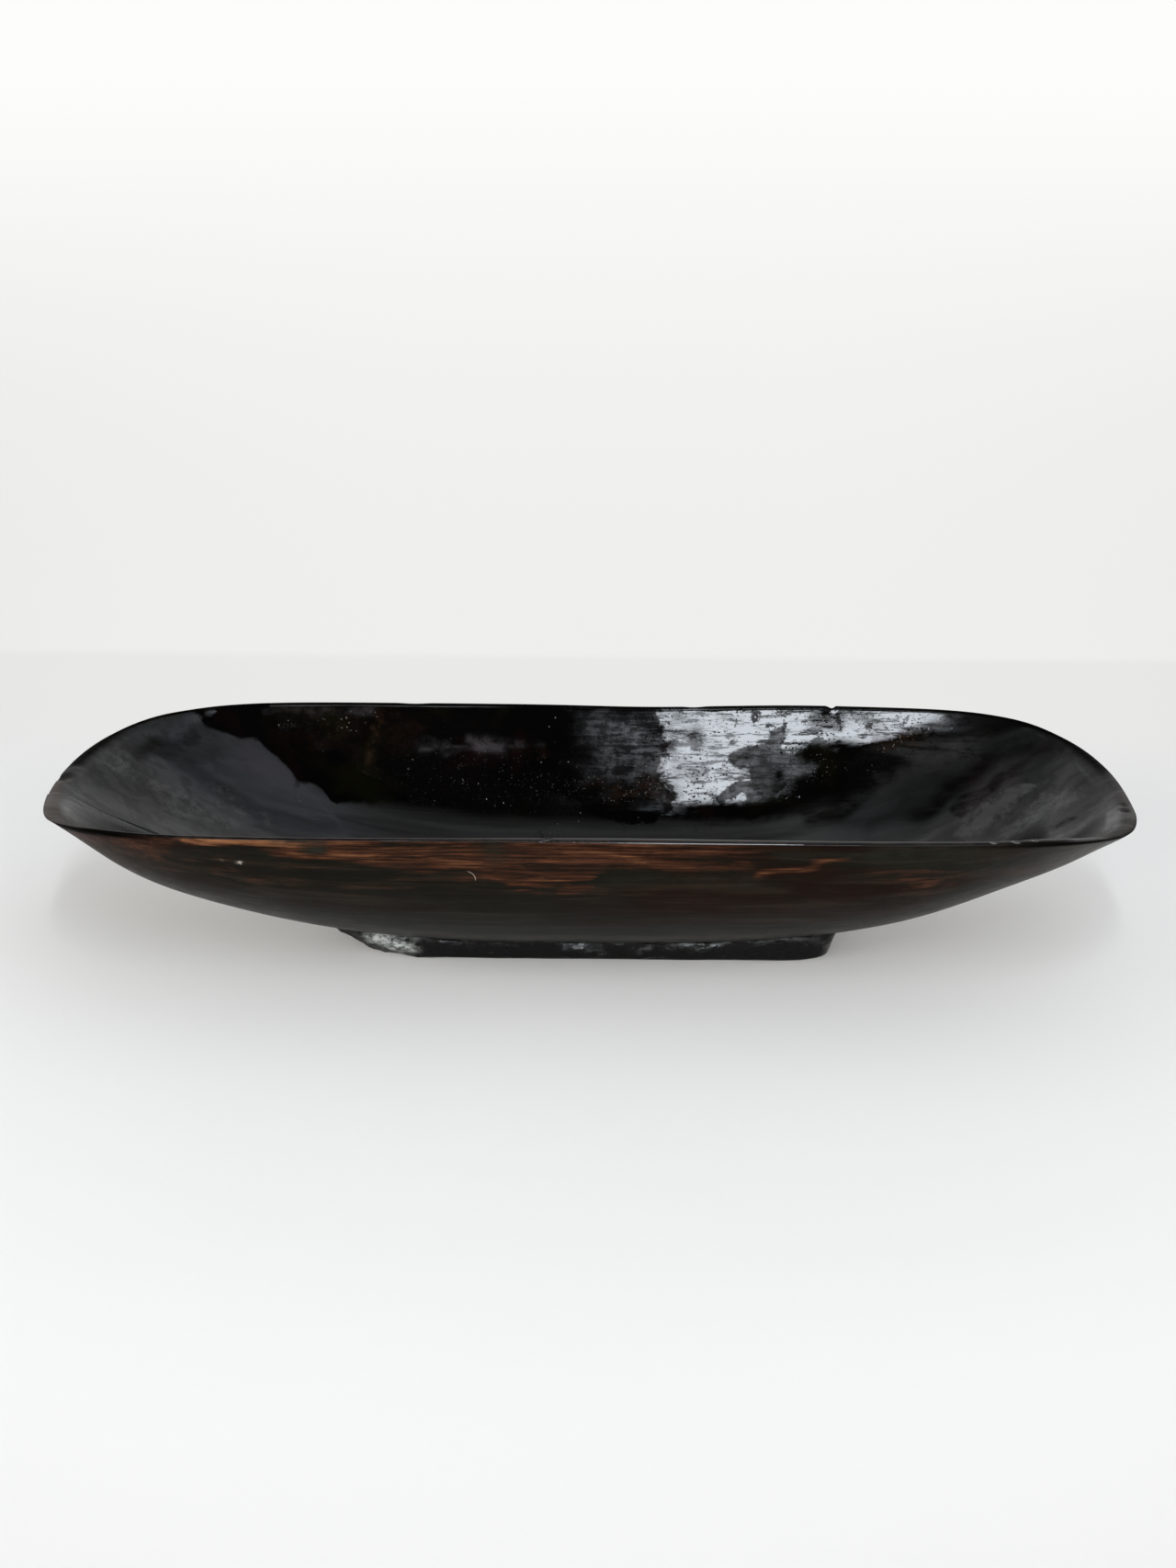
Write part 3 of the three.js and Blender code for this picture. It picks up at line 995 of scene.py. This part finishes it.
class Maker:
    """Short words for the nodes of one material, or of the world."""

    def __init__(self, name, owner=None):
        self.material = owner or bpy.data.materials.new(name)
        self.material.use_nodes = True
        self.tree = self.material.node_tree
        self.tree.nodes.clear()
        self.place = add_node(self.tree, "TexCoord").outputs["Object"]

    def spread(self, fineness, vector=None):
        """Where a texture is looked up, and its scale. A fineness for each axis stretches the texture."""
        if isinstance(fineness, tuple):
            return self.stretched(self.place, fineness), 1.0
        return self.place if vector is None else vector, fineness

    def stretched(self, vector, factors):
        return add_node(self.tree, "VectorMath", (vector, factors), operation="MULTIPLY").outputs[0]

    def noise(self, fineness=1.0, detail=3.0, roughness=0.55, distortion=0.0, vector=None):
        """Random clouds, about as many in a metre as the fineness says, over the place or another vector."""
        place, scale = self.spread(fineness, vector)
        named = {"Scale": scale, "Detail": detail, "Roughness": roughness, "Distortion": distortion}
        return add_value(self.tree, "TexNoise", (place,), named)

    def cells(self, fineness):
        """The distance to the nearest of a crowd of random points."""
        place, scale = self.spread(fineness)
        return add_value(self.tree, "TexVoronoi", (place,), {"Scale": scale}, output="Distance")

    def parts(self, vector):
        return [Value(self.tree, part) for part in add_node(self.tree, "SeparateXYZ", (vector,)).outputs]

    def distance(self, vector, centre):
        return add_value(self.tree, "VectorMath", (vector, centre), output="Value", operation="DISTANCE")

    def near(self, centre, reach):
        """1 at a place on the object, falling to 0 at the reach."""
        return self.distance(self.place, centre).ramp(reach, reach * 0.3)

    def stored(self, name):
        return add_value(self.tree, "Attribute", output="Fac", attribute_name=name)

    def blend(self, share, first, second):
        """A colour between two colours."""
        share_input, first_input, second_input = 0, 6, 7
        named = {share_input: share, first_input: first, second_input: second}
        return add_node(self.tree, "Mix", (), named, data_type="RGBA").outputs[2]

    def finish(self, colour, roughness, gloss, height, relief):
        """The shader, with bumps whose height from 0 to 1 stands for a relief in metres."""
        bumps = {"Height": height, "Distance": relief, "Strength": 1.0}
        named = {
            "Base Color": colour,
            "Roughness": roughness,
            "Normal": add_node(self.tree, "Bump", (), bumps).outputs[0],
            "Specular IOR Level": gloss,
        }
        shader = add_node(self.tree, "BsdfPrincipled", (), named)
        add_node(self.tree, "OutputMaterial", (shader.outputs[0],))
        return self.material


def rgb(red, green, blue):
    return (red, green, blue, 1.0)


# Near-black of the painted shade under the rim's lip
UNDER_LIP_SHADE_BLACK = rgb(0.001, 0.0009, 0.0007)


def inside_material():
    """Black lacquer brushed along the bowl, worn thin and dull in places, over dark brown wood."""
    make = Maker("inside_black_lacquer")
    brushed = make.noise((14, 420, 420), detail=4, roughness=0.65)
    clouds = make.noise(16, detail=4, roughness=0.6, distortion=0.6)
    blotches = make.noise(70, detail=5, roughness=0.7)
    spotted = make.noise(120, detail=4, roughness=0.7)
    tattered = spotted.ramp(0.3, 0.7, -0.35, 0.35)
    scratches = make.noise((55, 55, 420), detail=5, roughness=0.75)
    feathered = make.noise((60, 160, 160), detail=4, roughness=0.7).ramp(0.32, 0.6, 0.45, 1.0)
    dust = make.cells(330).ramp(0.17, 0.06)

    along, across, up = make.parts(make.place)
    outwards = abs(along)
    at_ends = outwards.ramp(0.2, 0.28)
    specks = make.cells(140).ramp(0.08, 0.05) * clouds.ramp(0.52, 0.62) * across.ramp(0.06, 0.085)
    sparkles = make.cells(420).ramp(0.22, 0.12) * make.stored("sparkle") * blotches.ramp(0.42, 0.54)
    specks = specks.larger(sparkles)

    # Both ends are brushed aslant.
    folded = add_node(make.tree, "CombineXYZ", (outwards, across, up)).outputs[0]
    turned = {"Vector": folded, "Angle": math.radians(-29)}
    aslant = add_node(make.tree, "VectorRotate", (), turned).outputs[0]
    aslant = make.stretched(aslant, (20, 95, 95))
    swept = at_ends * make.noise(vector=aslant, detail=4, roughness=0.62, distortion=0.7).ramp(0.44, 0.56)

    # Olive and red stains in the black, brown where it is worn, then lighter grey streaks, smudges, specks
    # and the rim
    tint = make.noise(13, roughness=0.6)
    black = rgb(0.0011, 0.001, 0.001)
    colour = make.blend(tint.ramp(0.47, 0.36), black, rgb(0.0027, 0.0026, 0.0011))
    colour = make.blend(tint.ramp(0.53, 0.64), colour, rgb(0.0036, 0.0013, 0.0016))
    colour = make.blend(outwards.ramp(0.23, 0.16) * clouds.ramp(0.42, 0.56), colour, black)
    worn = make.stored("bare") * blotches.ramp(0.36, 0.62, 0.15, 1.0)
    brown = make.blend(blotches.ramp(0.4, 0.62), rgb(0.0032, 0.0019, 0.0009), rgb(0.012, 0.0058, 0.0029))
    colour = make.blend(worn, colour, brown)
    light_streak = make.stored("light_streak")
    lightened = (light_streak + tattered).ramp(0.2, 0.95) * clouds.ramp(0.3, 0.62, 0.6, 1.0) * light_streak.ramp(0.05, 0.3)
    colour = make.blend(lightened * 0.5, colour, rgb(0.062, 0.064, 0.06))
    smudged = make.stored("smudge") * blotches.ramp(0.38, 0.58, 0.1, 0.85)
    colour = make.blend(smudged, colour, rgb(0.046, 0.043, 0.046))
    # The specks are painted pale: partly dust, partly painted glints.
    colour = make.blend(specks * 0.6, colour, rgb(0.16, 0.16, 0.15))
    lip = make.stored("lip")
    lip_tone = make.blend(blotches.ramp(0.4, 0.6), rgb(0.003, 0.0025, 0.002), rgb(0.016, 0.01, 0.007))
    lip_tone = make.blend(along.ramp(-0.325, -0.342), lip_tone, rgb(0.04, 0.027, 0.021))
    lip_tone = make.blend(across.ramp(0.012, 0.04), lip_tone, rgb(0.0012, 0.001, 0.0009))
    colour = make.blend(lip * 0.8, colour, lip_tone)
    # Painted shade under the rim's lip near both tips: near-black and without gloss
    under_lip_shade = make.stored("under_lip_shade")
    colour = make.blend(under_lip_shade, colour, UNDER_LIP_SHADE_BLACK)

    dull = make.stored("dull") * blotches.ramp(0.3, 0.55, 0.45, 1.0)
    roughness = 0.03 + clouds.ramp(0.45, 0.75, 0.0, 0.02) + outwards.ramp(0.29, 0.33, 0.0, 0.14)
    for share, added in (
        (at_ends, 0.12), (swept, 0.05), (lip, 0.16), (dull, 0.11), (worn, 0.05), (dust, 0.08),
    ):
        roughness = roughness + share * added
    dusty = dust * make.noise(34, detail=2).ramp(0.54, 0.68)
    height = brushed * 0.4 + make.noise((120, 900, 900)) * 0.1 + make.noise(60, detail=1.5) * 0.1
    height = height + dusty * 0.1 + specks * 0.1 - make.cells(150).ramp(0.16, 0.07) * 0.12

    # Where the gloss is lost
    veil = (make.stored("veil") + tattered).ramp(0.28, 0.72)
    scuffed = make.stored("scuffed")
    marks = scuffed * scratches.ramp(0.495, 0.595).larger(spotted.ramp(0.555, 0.62))
    marks = marks * (1.0 - (veil * 0.5).larger(make.stored("clear")))
    pits = make.cells((330, 330, 520)).ramp(0.34, 0.2)
    pits = scuffed * pits * make.noise(48).ramp(0.47, 0.6).larger(up.ramp(0.104, 0.109, 0.0, 0.7))
    least_loss = along.ramp(0.055, 0.1, 0.83, 0.76)
    most_loss = along.ramp(0.055, 0.1, 0.96, 0.89)
    veiled = veil * ((spotted + scratches) * 0.5).ramp(0.4, 0.56, least_loss, most_loss)
    lip_loss = across.ramp(-0.005, -0.04, 0.0, 0.8).larger(across.ramp(0.02, 0.06, 0.0, 0.97))
    lip_loss = outwards.ramp(0.29, 0.33, 0.75, 0.3).larger(lip_loss)
    gloss = 0.5 - worn * 0.22
    for loss in (
        marks * 0.93,
        veiled,
        pits * 0.98,
        make.stored("matte"),
        lip * lip_loss,
        (make.stored("ridge") + tattered * 0.5).ramp(0.1, 0.8),
        make.stored("smear").ramp(0.12, 0.85) * feathered * 0.85,
        swept * 0.3,
        smudged * 0.5,
        under_lip_shade * 0.9,
    ):
        gloss = gloss * (1.0 - loss)
    polished = make.near((0.165, 0.066, 0.05), 0.062)
    gloss = gloss * (1.0 + polished * 0.6)
    return make.finish(colour, roughness, gloss, height, relief=0.00009)


def outside_material():
    """Oiled hardwood, nearly black, in bands of red-brown and green-black, with rust-brown grain where the
    stain is thin."""
    make = Maker("outside_oiled_wood")
    along, across, up = make.parts(make.place)
    fibres = make.noise((22, 620, 620), detail=5, roughness=0.75, distortion=0.3)
    streaks = make.noise((9, 130, 130), detail=5, roughness=0.65, distortion=0.9)
    patches = make.noise((26, 60, 60), detail=4, roughness=0.6, distortion=0.5)
    drift = make.noise((4, 24, 24), distortion=0.8)
    pores = make.noise((60, 1500, 1500), detail=2)
    smudge = make.noise(45, detail=4, roughness=0.65)
    vein = abs(make.noise((12, 210, 210), roughness=0.6, distortion=1.4) - 0.5).ramp(0.022, 0.0)

    # Green-black low down, red-black in drifting patches higher up. The green low down is partly stain and
    # partly a painted tint of the lower belly's reflection.
    green_black = make.blend(fibres, rgb(0.001, 0.0011, 0.0006), rgb(0.0078, 0.0072, 0.0046))
    red_black = make.blend(fibres, rgb(0.001, 0.0005, 0.0003), rgb(0.011, 0.0046, 0.0022))
    stain = make.blend(drift.ramp(0.42, 0.58) * up.ramp(0.03, 0.058), green_black, red_black)
    stain = make.blend(streaks.ramp(0.5, 0.68, 0.0, 0.55), stain, rgb(0.015, 0.0105, 0.007))

    # How thin the stain is: thin enough, the wood shows red-brown and then orange.
    rust = make.stored("rust")
    ash = make.stored("ash") * smudge.ramp(0.3, 0.55, 0.4, 1.0)
    thin = rust + streaks.ramp(0.3, 0.7, -0.2, 0.2) + fibres.ramp(0.3, 0.7, -0.2, 0.2)
    thin = thin + patches.ramp(0.3, 0.7, -0.14, 0.1) - vein * 0.18 - ash * 0.45 - 0.1
    strands = fibres.ramp(0.34, 0.66)
    red_brown = make.blend(strands, rgb(0.0095, 0.0036, 0.0019), rgb(0.046, 0.0165, 0.0078))
    orange = make.blend(strands, rgb(0.05, 0.0185, 0.008), rgb(0.175, 0.078, 0.036))
    colour = make.blend(thin.ramp(0.12, 0.7), stain, red_brown)
    colour = make.blend(thin.ramp(0.55, 1.25), colour, orange)
    colour = make.blend(ash * 0.75, colour, rgb(0.014, 0.015, 0.011))

    # A chip that is broken up, and a pale hair of a scratch that turns down, an arc of a circle on the wall
    on_wall = add_node(make.tree, "CombineXYZ", (along, 0.0, up)).outputs[0]
    hair = abs(make.distance(on_wall, (-0.074, 0.0, 0.083)) - 0.0068).ramp(0.00035, 0.0001)
    hair = hair * along.ramp(-0.0725, -0.0705) * up.ramp(0.0815, 0.0835) * across.ramp(0.0, -0.01)
    chipped = make.stored("pale") * make.noise(650, detail=2).ramp(0.4, 0.54)
    colour = make.blend(chipped.larger(hair * 0.5), colour, rgb(0.4, 0.36, 0.31))
    # Painted shade under the rim's lip near both tips: near-black and without gloss
    under_lip_shade = make.stored("under_lip_shade")
    colour = make.blend(under_lip_shade, colour, UNDER_LIP_SHADE_BLACK)

    roughness = 0.3 + fibres.ramp(0.35, 0.7, 0.0, 0.12) + smudge.ramp(0.35, 0.7, 0.0, 0.08) + rust * 0.1
    gloss = up.ramp(0.03, 0.085, 0.095, 0.036) + along.ramp(0.23, 0.32, 0.0, 0.09)
    gloss = gloss * streaks.ramp(0.34, 0.66, 0.8, 1.22) * smudge.ramp(0.35, 0.65, 0.88, 1.12)
    gloss = gloss * (1.0 - under_lip_shade * 0.95)
    height = streaks * 0.3 + fibres * 0.4 + pores * 0.25 - vein * 0.2
    return make.finish(colour, roughness, gloss, height, relief=0.00009)


def foot_material():
    """A thick, lumpy coat of glossy black over knife cuts, with brush ridges, dusty scuffs and a painted
    highlight.
    """
    make = Maker("foot_black_coat")
    ridges = make.noise((55, 210, 260), detail=4, roughness=0.6, distortion=1.2)
    wrinkles = make.noise((160, 300, 420), distortion=2.0) * make.noise(26, detail=2).ramp(0.48, 0.62)
    scuff = make.noise((90, 160, 160), detail=5, roughness=0.75).ramp(0.6, 0.74)
    patchy = make.noise((150, 150, 260), detail=6, roughness=0.8).ramp(0.42, 0.6)
    broken = make.noise((230, 230, 480), detail=4, roughness=0.75).ramp(0.46, 0.53, 0.03, 1.0)
    gleam = make.stored("gleam")
    left_facet = make.near((-0.13, -0.046, 0.009), 0.03)
    colour = make.blend(scuff * 0.5, rgb(0.0035, 0.0036, 0.0036), rgb(0.045, 0.046, 0.042))
    # Painted highlight: pale colour on the left facet where the coat gleams, over a little dust there
    colour = make.blend(gleam * left_facet * patchy, colour, rgb(0.3, 0.32, 0.31))
    roughness = 0.2 + scuff * 0.2 + ridges.ramp(0.4, 0.7, 0.0, 0.1) + left_facet * 0.08
    height = ridges * 0.7 + wrinkles * 0.7 + make.noise(520) * 0.06
    return make.finish(colour, roughness, 0.12 + gleam * broken * 0.88, height, relief=0.00018)


def peg_material():
    """Bare dark hardwood, with long fibres up its sides and growth rings on its ends."""
    make = Maker("peg_bare_hardwood")
    fibres = make.noise((900, 900, 60))
    wave = {"Scale": 190.0, "Distortion": 5.0, "Detail": 3.0}
    rings = add_value(make.tree, "TexWave", (make.place,), wave, wave_type="RINGS")
    pores = make.cells((1900, 1900, 200)).ramp(0.3, 0.12)
    wood = make.blend(rings * fibres.ramp(0.3, 0.7), rgb(0.075, 0.034, 0.016), rgb(0.2, 0.105, 0.05))
    colour = make.blend(pores * 0.7, wood, rgb(0.028, 0.013, 0.007))
    height = fibres * 0.5 - pores * 0.4 + rings * 0.2
    return make.finish(colour, fibres.ramp(0.3, 0.7, 0.55, 0.75), 0.35, height, relief=0.00012)


# Stage, light and camera

FLOOR_RADIUS = 7.0
FLOOR_SIDES = 128
WALL_HEIGHT = 2.4
# The floor lies a hair under the foot, so that it never shows through the underside.
FLOOR_LEVEL = -0.0003
PAPER = rgb(0.845, 0.84, 0.825)
PAPER_MARK = rgb(0.8323, 0.8274, 0.8126)
BOWL_MIDDLE = Vector((0, 0, 0.06))
COOL = (0.87, 0.93, 1.0)
WARM = (1.0, 0.98, 0.945)


def stage_material():
    """Pale paper. Far from the bowl it glows at a painted tone, and near it the shadow falls on it."""
    make = Maker("pale_paper")
    position = add_node(make.tree, "NewGeometry").outputs["Position"]
    x, y, _ = make.parts(position)
    # Painted light and shade of the room: lighter past a line behind the bowl and further back, darker
    # towards the sides in front
    far_tone = 0.815 + y.ramp(0.56, 0.585) * 0.045 + y.ramp(0.6, 3.8, 0.0, 0.12)
    far_tone = far_tone - abs(x).ramp(0.15, 1.1, 0.0, 0.075) * y.ramp(3.0, 0.3)
    tone = add_node(make.tree, "CombineColor", (far_tone, far_tone, far_tone * 0.992)).outputs[0]
    glow = add_node(make.tree, "Emission", (tone,)).outputs[0]

    marks = make.noise(3.0, detail=5, roughness=0.6).ramp(0.3, 0.7, 0.0, 0.6)
    paper = add_node(make.tree, "BsdfDiffuse", (make.blend(marks, PAPER, PAPER_MARK),)).outputs[0]
    path = add_node(make.tree, "LightPath").outputs
    seen = Value(make.tree, path["Is Camera Ray"])
    for kind in ("Is Glossy Ray", "Is Transmission Ray"):
        seen = seen.larger(path[kind])
    far = make.distance(position, (0, 0, 0)).ramp(0.55, 1.1).larger(y.ramp(0.22, 0.42))
    mixer = add_node(make.tree, "MixShader", (seen * far, paper, glow))
    add_node(make.tree, "OutputMaterial", (mixer.outputs[0],))
    return make.material


def build_stage():
    """A round pale floor and a low pale wall round it."""
    count = FLOOR_SIDES
    angle = angles_round(count)
    circle = FLOOR_RADIUS * np.stack([np.cos(angle), np.sin(angle)], 1)
    edge = np.column_stack([circle, np.full(count, FLOOR_LEVEL)])
    wall_points = np.vstack([edge, edge + [0, 0, WALL_HEIGHT]])
    wall_faces = [[k, (k + 1) % count, count + (k + 1) % count, count + k] for k in range(count)]
    material = stage_material()
    floor = ("floor", edge, [list(range(count))])
    for name, points, faces in (floor, ("backdrop", wall_points, wall_faces)):
        mesh = bpy.data.meshes.new(name)
        mesh.from_pydata(points.tolist(), [], faces)
        mesh.materials.append(material)
        add_object(name, mesh)


def build_world():
    """A pale room whose ceiling is greyer. In front of the bowl it is dark, from the floor up to the ceiling
    light, and its left part is dim."""
    world = bpy.data.worlds.new("room")
    bpy.context.scene.world = world
    make = Maker("room", world)
    direction = add_node(make.tree, "TexCoord").outputs["Generated"]
    aside, behind, up = make.parts(direction)
    # From 0 at the horizon behind the bowl, over the zenith, to half a turn at the horizon in front
    over = up.math("ARCTAN2", up, behind)

    def over_degrees(start, end):
        return over.ramp(math.radians(start), math.radians(end))

    ceiling = make.blend(aside.ramp(0.03, 0.2), rgb(0.47, 0.485, 0.49), rgb(0.76, 0.8, 0.9))
    ceiling = make.blend(aside.ramp(-0.1, -0.24), ceiling, rgb(0.33, 0.35, 0.36))
    room = make.blend(over_degrees(50, 74), rgb(0.86, 0.87, 0.88), ceiling)
    # The dark part's right edge slants, and comes nearer to the middle higher up.
    right_edge = 0.156 - (over - math.radians(98)) * 0.155
    dark_front = over_degrees(99, 113) * (right_edge - aside).ramp(-0.02, 0.03)
    colour = make.blend(dark_front, room, rgb(0.01, 0.008, 0.006))
    shapes = make.noise(5.5, detail=2.5, vector=direction).ramp(0.36, 0.64, 0.46, 0.98)
    background = add_node(make.tree, "Background", (colour, shapes))
    add_node(make.tree, "OutputWorld", (background.outputs[0],))


def add_panel(name, turn, elevation, distance, width, height, brightness, colour, mirrored=False, aside=0.0):
    """A panel of light that faces the bowl. It is turned to the right from the bowl's front, and its
    brightness is its radiance."""
    lamp = bpy.data.lights.new(name, "AREA")
    lamp.shape = "RECTANGLE"
    lamp.size = width
    lamp.size_y = height
    lamp.energy = brightness * math.pi * width * height
    lamp.color = colour
    made = add_object(name, lamp)
    made.visible_glossy = mirrored
    target = BOWL_MIDDLE + Vector((aside, 0, 0))
    made.location = target + Vector(direction_of(turn, elevation)) * distance
    made.rotation_euler = (target - made.location).to_track_quat("-Z", "Y").to_euler()


def build_lights():
    """The two panels that the lacquer mirrors, and soft ones that only light the bowl."""
    add_panel("window", 0, 49.5, 6.5, 0.43, 4.3, 17, COOL, mirrored=True, aside=0.205)
    add_panel("low_window", 0, 18, 6.3, 1.3, 0.45, 13, COOL, mirrored=True, aside=0.05)
    add_panel("front_fill", 0, 12, 4.0, 6.0, 1.6, 3.9, WARM)
    add_panel("back_fill", 180, 10, 3.6, 4.0, 1.4, 2.6, WARM)
    add_panel("left_fill", -75, 8, 3.6, 4.0, 1.0, 12.5, WARM)
    add_panel("right_fill", 75, 8, 3.6, 4.0, 1.0, 9.3, WARM)


def add_camera():
    """The photograph's view, fitted to the rim and the foot."""
    image_height = 1707
    focal_pixels = 3797.9
    distance = 2.2649
    elevation = math.radians(21.5)
    pitch = elevation - 0.018
    turn = 0.017
    roll = 0.003
    camera = bpy.data.cameras.new("photo_camera")
    camera.sensor_width = 36.0
    camera.lens = camera.sensor_width * focal_pixels / image_height
    made = add_object("photo_camera", camera)
    place = Vector((0, -distance * math.cos(elevation), BOWL_MIDDLE.z + distance * math.sin(elevation)))
    made.matrix_world = (
        Matrix.Rotation(turn, 4, "Z")
        @ Matrix.Translation(place)
        @ Matrix.Rotation(math.pi / 2 - pitch, 4, "X")
        @ Matrix.Rotation(roll, 4, "Z")
    )
    bpy.context.scene.camera = made


# The bowl

def add_piece(name, mesh, materials, pegs=()):
    """One piece of the bowl, with a hole for each of the pegs."""
    piece = add_object(name, mesh)
    for material in materials:
        piece.data.materials.append(material)
    if pegs:
        cut_out(piece, [peg_tool(peg) for peg in pegs])
    return piece


def build_bowl():
    pegs = [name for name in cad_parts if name.startswith("foot_peg_")]

    hull = add_piece("carved_hull", hull_mesh(), [outside_material(), inside_material()], pegs)
    paint_hull(hull.data)
    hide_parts("bowl_hull")

    foot = add_piece("carved_foot", foot_mesh(), [foot_material()], pegs)
    paint_foot(foot.data)
    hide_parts("foot")

    pieces = [hull, foot]
    wood = peg_material()
    for seed, node in enumerate(sorted(pegs)):
        peg = add_piece(node.replace("foot_peg", "whittled_peg"), peg_mesh(node, seed), [wood])
        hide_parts(node)
        pieces.append(peg)
    for piece in pieces:
        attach(piece, "root")


build_bowl()
build_stage()
build_world()
build_lights()
add_camera()

bpy.context.scene.view_settings.view_transform = "Standard"
